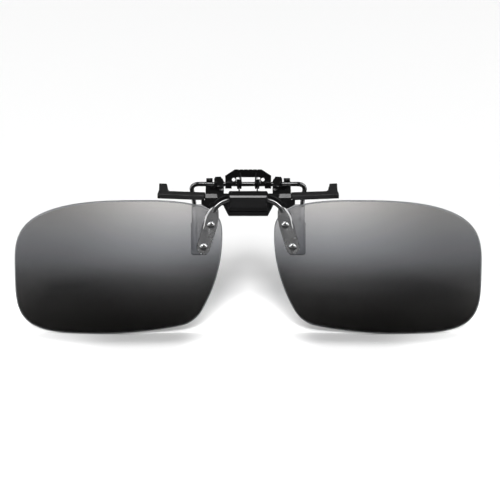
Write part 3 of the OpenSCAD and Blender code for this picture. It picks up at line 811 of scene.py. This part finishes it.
# ---------------------------------------------------------------- floor (metres from here on)
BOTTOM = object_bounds()[0][2]
FLOOR_HALF = 3.0
FLOOR_Z = BOTTOM - 0.0001
PAPER_WHITE = 0.93
PAPER_PAINTED_SHADOW = 0.50                # painted contact shadow: grey close to what stands on the paper
# painted reflections, seen only by glossy rays: a near-black floor with a grey patch in front of the
# block and a light band far out at each side
PAINTED_REFLECTION_DARK = 0.03
FRONT_REFLECTION_GREY = 0.20
FRONT_REFLECTION_DISTANCE = 0.113               # in front of the block
FRONT_REFLECTION_HALF_WIDTH, FRONT_REFLECTION_HALF_DEPTH = 0.020, 0.022
SIDE_REFLECTION_GREY = 0.40
SIDE_REFLECTION_X = (0.13, 0.17)          # |x| over which the side reflections fade in


def floor_half(side, x_low, x_high):
    mesh = bpy.data.meshes.new("floor_" + side)
    corners = [(x_low, -FLOOR_HALF), (x_high, -FLOOR_HALF), (x_high, FLOOR_HALF),
               (x_low, FLOOR_HALF)]
    mesh.from_pydata([(x, y, FLOOR_Z) for x, y in corners], [], [(0, 1, 2, 3)])
    obj = bpy.data.objects.new("floor_" + side, mesh)
    scene.collection.objects.link(obj)
    return obj


def paper_material():
    """White paper with a painted contact shadow; glossy rays see painted reflections instead: a
    near-black floor with lighter grey patches.
    """
    material, tree = new_material("floor_paper")
    # painted contact shadow: the paper darkens softly close to what stands on it
    occlusion = add(tree, "AmbientOcclusion", props=dict(samples=12), Distance=0.020)
    white = ramp(tree, occlusion.outputs["AO"], [(0.30, PAPER_PAINTED_SHADOW), (0.98, PAPER_WHITE)])
    paper = add(tree, "BsdfDiffuse", Color=white)
    # painted reflection: a grey patch in front of the block
    place = add(tree, "TexCoord").outputs["Object"]
    around_front_reflection = add(tree, "Mapping", Vector=place,
                      Location=(0, FRONT_REFLECTION_DISTANCE / FRONT_REFLECTION_HALF_DEPTH, 0),
                      Scale=(1 / FRONT_REFLECTION_HALF_WIDTH, 1 / FRONT_REFLECTION_HALF_DEPTH, 0))
    distance = vector_math(tree, "LENGTH", around_front_reflection).outputs["Value"]
    front_reflection = ramp(tree, distance, [(0.5, FRONT_REFLECTION_GREY), (1.0, PAINTED_REFLECTION_DARK)])
    # and a painted light reflection far out at each side, for the rolled outer edges
    outward = calculate(tree, "ABSOLUTE", add(tree, "SeparateXYZ", place).outputs["X"])
    side_reflections = map_range(tree, outward, SIDE_REFLECTION_X, (0.0, SIDE_REFLECTION_GREY))
    reflection_colours = add(tree, "MixRGB", 1.0, front_reflection, side_reflections, props=dict(blend_type="ADD"))
    # painted reflection: glossy rays see these colours in place of the paper
    painted_reflection = add(tree, "BsdfDiffuse", Color=reflection_colours)
    glossy = add(tree, "LightPath").outputs["Is Glossy Ray"]
    add(tree, "OutputMaterial", add(tree, "MixShader", glossy, paper, painted_reflection))
    return material


floors = [floor_half("right", -FLOOR_HALF, 0.0), floor_half("left", 0.0, FLOOR_HALF)]
paper = paper_material()
for floor in floors:
    floor.data.materials.append(paper)

# ---------------------------------------------------------------- lights
LIGHT_DISTANCE = 3.0
LIGHT_TARGET = Vector((0, 0, -0.02))
# soft spots that keep the paper clean: x, y, height angle, radius, share of white
WASHES = [(-0.088, -0.004, 90, 0.052, 0.75), (0.088, -0.004, 90, 0.052, 0.75),
          (0.0, -0.014, 28, 0.021, 0.75)]


def direction(height, bearing):
    """Unit vector; angles in degrees, bearing 0 is the camera's side and 180 behind."""
    height, bearing = math.radians(height), math.radians(bearing)
    return Vector((math.cos(height) * math.sin(bearing), -math.cos(height) * math.cos(bearing),
                   math.sin(height)))


def place_aimed(name, data, location, target):
    """Object that looks from location towards target."""
    obj = bpy.data.objects.new(name, data)
    scene.collection.objects.link(obj)
    obj.location = location
    obj.rotation_euler = (target - location).to_track_quat("-Z", "Y").to_euler()
    return obj


def group(name, objects):
    collection = bpy.data.collections.new(name)
    for obj in objects:
        collection.objects.link(obj)
    return collection


def area(name, height, bearing, size, power, glossy=False):
    """Rectangular light aimed at the object; polished faces don't mirror it unless glossy."""
    light = bpy.data.lights.new(name, "AREA")
    light.shape = "RECTANGLE"
    light.size, light.size_y = size
    light.energy = power
    location = LIGHT_TARGET + direction(height, bearing) * LIGHT_DISTANCE
    obj = place_aimed(name, light, location, LIGHT_TARGET)
    obj.visible_glossy = glossy
    return obj


def paper_wash(index, x, y, height, radius, share):
    """Spot one metre from its target on the paper; share is of the paper's white."""
    light = bpy.data.lights.new("paper_wash_%d" % index, "SPOT")
    # this power lights the target evenly, whatever the slant
    light.energy = share * math.pi / PAPER_WHITE * 4 * math.pi / math.sin(math.radians(height))
    light.spot_size = 2 * math.atan(radius)
    light.spot_blend = 1.0
    light.shadow_soft_size = 0.003
    target = Vector((x, y, BOTTOM))
    obj = place_aimed(light.name, light, target + direction(height, 0), target)
    obj.light_linking.receiver_collection = group(light.name + "_on", floors)
    obj.light_linking.blocker_collection = group(light.name + "_by", floors[:1])
    obj.visible_glossy = False


# the object has its own pair of lights
front_key = area("front_key", height=37.4, bearing=0, size=(0.8, 0.7), power=82.0)
overhead = area("overhead", height=78, bearing=180, size=(0.45, 0.35), power=51.0)
glasses = [bpy.data.objects[side + "_lens_glass"] for side, _ in SIDES]
solids = [obj for obj in scene.collection.all_objects if obj.type == "MESH" and obj not in floors]
solids += [obj for obj in cad_nodes.values() if obj not in solids]
object_lit = group("object_lit", solids)
for light in (front_key, overhead):
    light.light_linking.receiver_collection = object_lit

# each half of the paper has a mirrored pair, so that both shadows fall inwards
for floor, side, sign in ((floors[0], "_right", -1), (floors[1], "_left", 1)):
    paper_key = area("paper_key" + side, height=37.4, bearing=sign * 8.0, size=(0.8, 0.7),
                     power=98.0)
    paper_key.light_linking.receiver_collection = group(paper_key.name + "_on", [floor])
    paper_over = area("paper_over" + side, height=75.5, bearing=180 - sign * 10.0,
                      size=(0.45, 0.4), power=43.5)
    paper_over.light_linking.receiver_collection = group(paper_over.name + "_on", [floor])
    # only the lenses cast a shadow from this one
    paper_over.light_linking.blocker_collection = group(paper_over.name + "_by", glasses)
for index, wash in enumerate(WASHES):
    paper_wash(index, *wash)

# one soft box for the screw heads of each side, from the outside
for side, sign in (("right", -1), ("left", 1)):
    box = area("screw_box_" + side, height=36, bearing=sign * 28, size=(1.25, 1.25), power=11.0,
               glossy=True)
    screws = bpy.data.objects[side + "_lens_screws_turned"]
    box.light_linking.receiver_collection = group(box.name + "_on", [screws])

# a small fill for what lies behind the tint: pads and covered wire
fill = area("pad_fill", height=20, bearing=0, size=(0.5, 0.5), power=76.0)
pads = [cad_nodes[side + "_rear_pad"] for side, _ in SIDES]
fill.light_linking.receiver_collection = group("fill_receivers", [claw] + pads)
# with the floor as its only blocker, nothing shades it
fill.light_linking.blocker_collection = group("fill_blockers", floors[:1])

# ---------------------------------------------------------------- world
AMBIENT = 0.02                      # the room's own light on everything
ROOM = (0.02, 0.05)                 # reflected level at the horizon and overhead
# soft boxes seen in reflections: height angle, bearing, half width, softness, level
BOXES = [(70, 0, 2.5, 2.5, 8.5), (34, -66, 10, 9, 2.0), (34, 66, 10, 9, 2.0),
         (56, -62, 10, 8, 1.6), (56, 62, 10, 8, 1.6), (2, -86, 12, 8, 2.4), (2, 86, 12, 8, 2.4)]


def soft_box(tree, view, height, bearing, half, softness, level):
    """Round soft box of angular half width half, in degrees."""
    facing = vector_math(tree, "DOT_PRODUCT", view, direction(height, bearing))
    rim = (math.cos(math.radians(half + softness)), math.cos(math.radians(half)))
    return map_range(tree, facing.outputs["Value"], rim, (0.0, level))


def studio():
    """Glossy rays see a dim room with soft boxes, all others a faint ambient level."""
    world = bpy.data.worlds.new("studio")
    scene.world = world
    world.use_nodes = True
    tree = world.node_tree
    tree.nodes.clear()
    view = add(tree, "TexCoord").outputs["Generated"]
    up = add(tree, "SeparateXYZ", view).outputs["Z"]
    total = map_range(tree, up, (0.0, 1.0), ROOM, interpolation="LINEAR")
    for box in BOXES:
        total = calculate(tree, "ADD", total, soft_box(tree, view, *box))
    glossy = add(tree, "LightPath").outputs["Is Glossy Ray"]
    level = add(tree, "Mix", props=dict(data_type="FLOAT"), Factor=glossy, A=AMBIENT, B=total)
    add(tree, "OutputWorld", add(tree, "Background", Strength=1.0, Color=level))


studio()

# ---------------------------------------------------------------- camera and render
CAMERA_HEIGHT = 20                  # degrees
CAMERA_DISTANCE = 1.2018
CAMERA_TARGET = Vector((0.52, -3.0, -15.36)) * MM

camera_data = bpy.data.cameras.new("camera")
camera_data.lens = 300
camera_data.sensor_width = 36
camera_data.clip_end = 20
scene.camera = place_aimed("camera", camera_data,
                           CAMERA_TARGET + direction(CAMERA_HEIGHT, 0) * CAMERA_DISTANCE,
                           CAMERA_TARGET)
scene.view_settings.view_transform = "Standard"
scene.view_settings.look = "None"
scene.cycles.transparent_max_bounces = 24
scene.cycles.max_bounces = 10
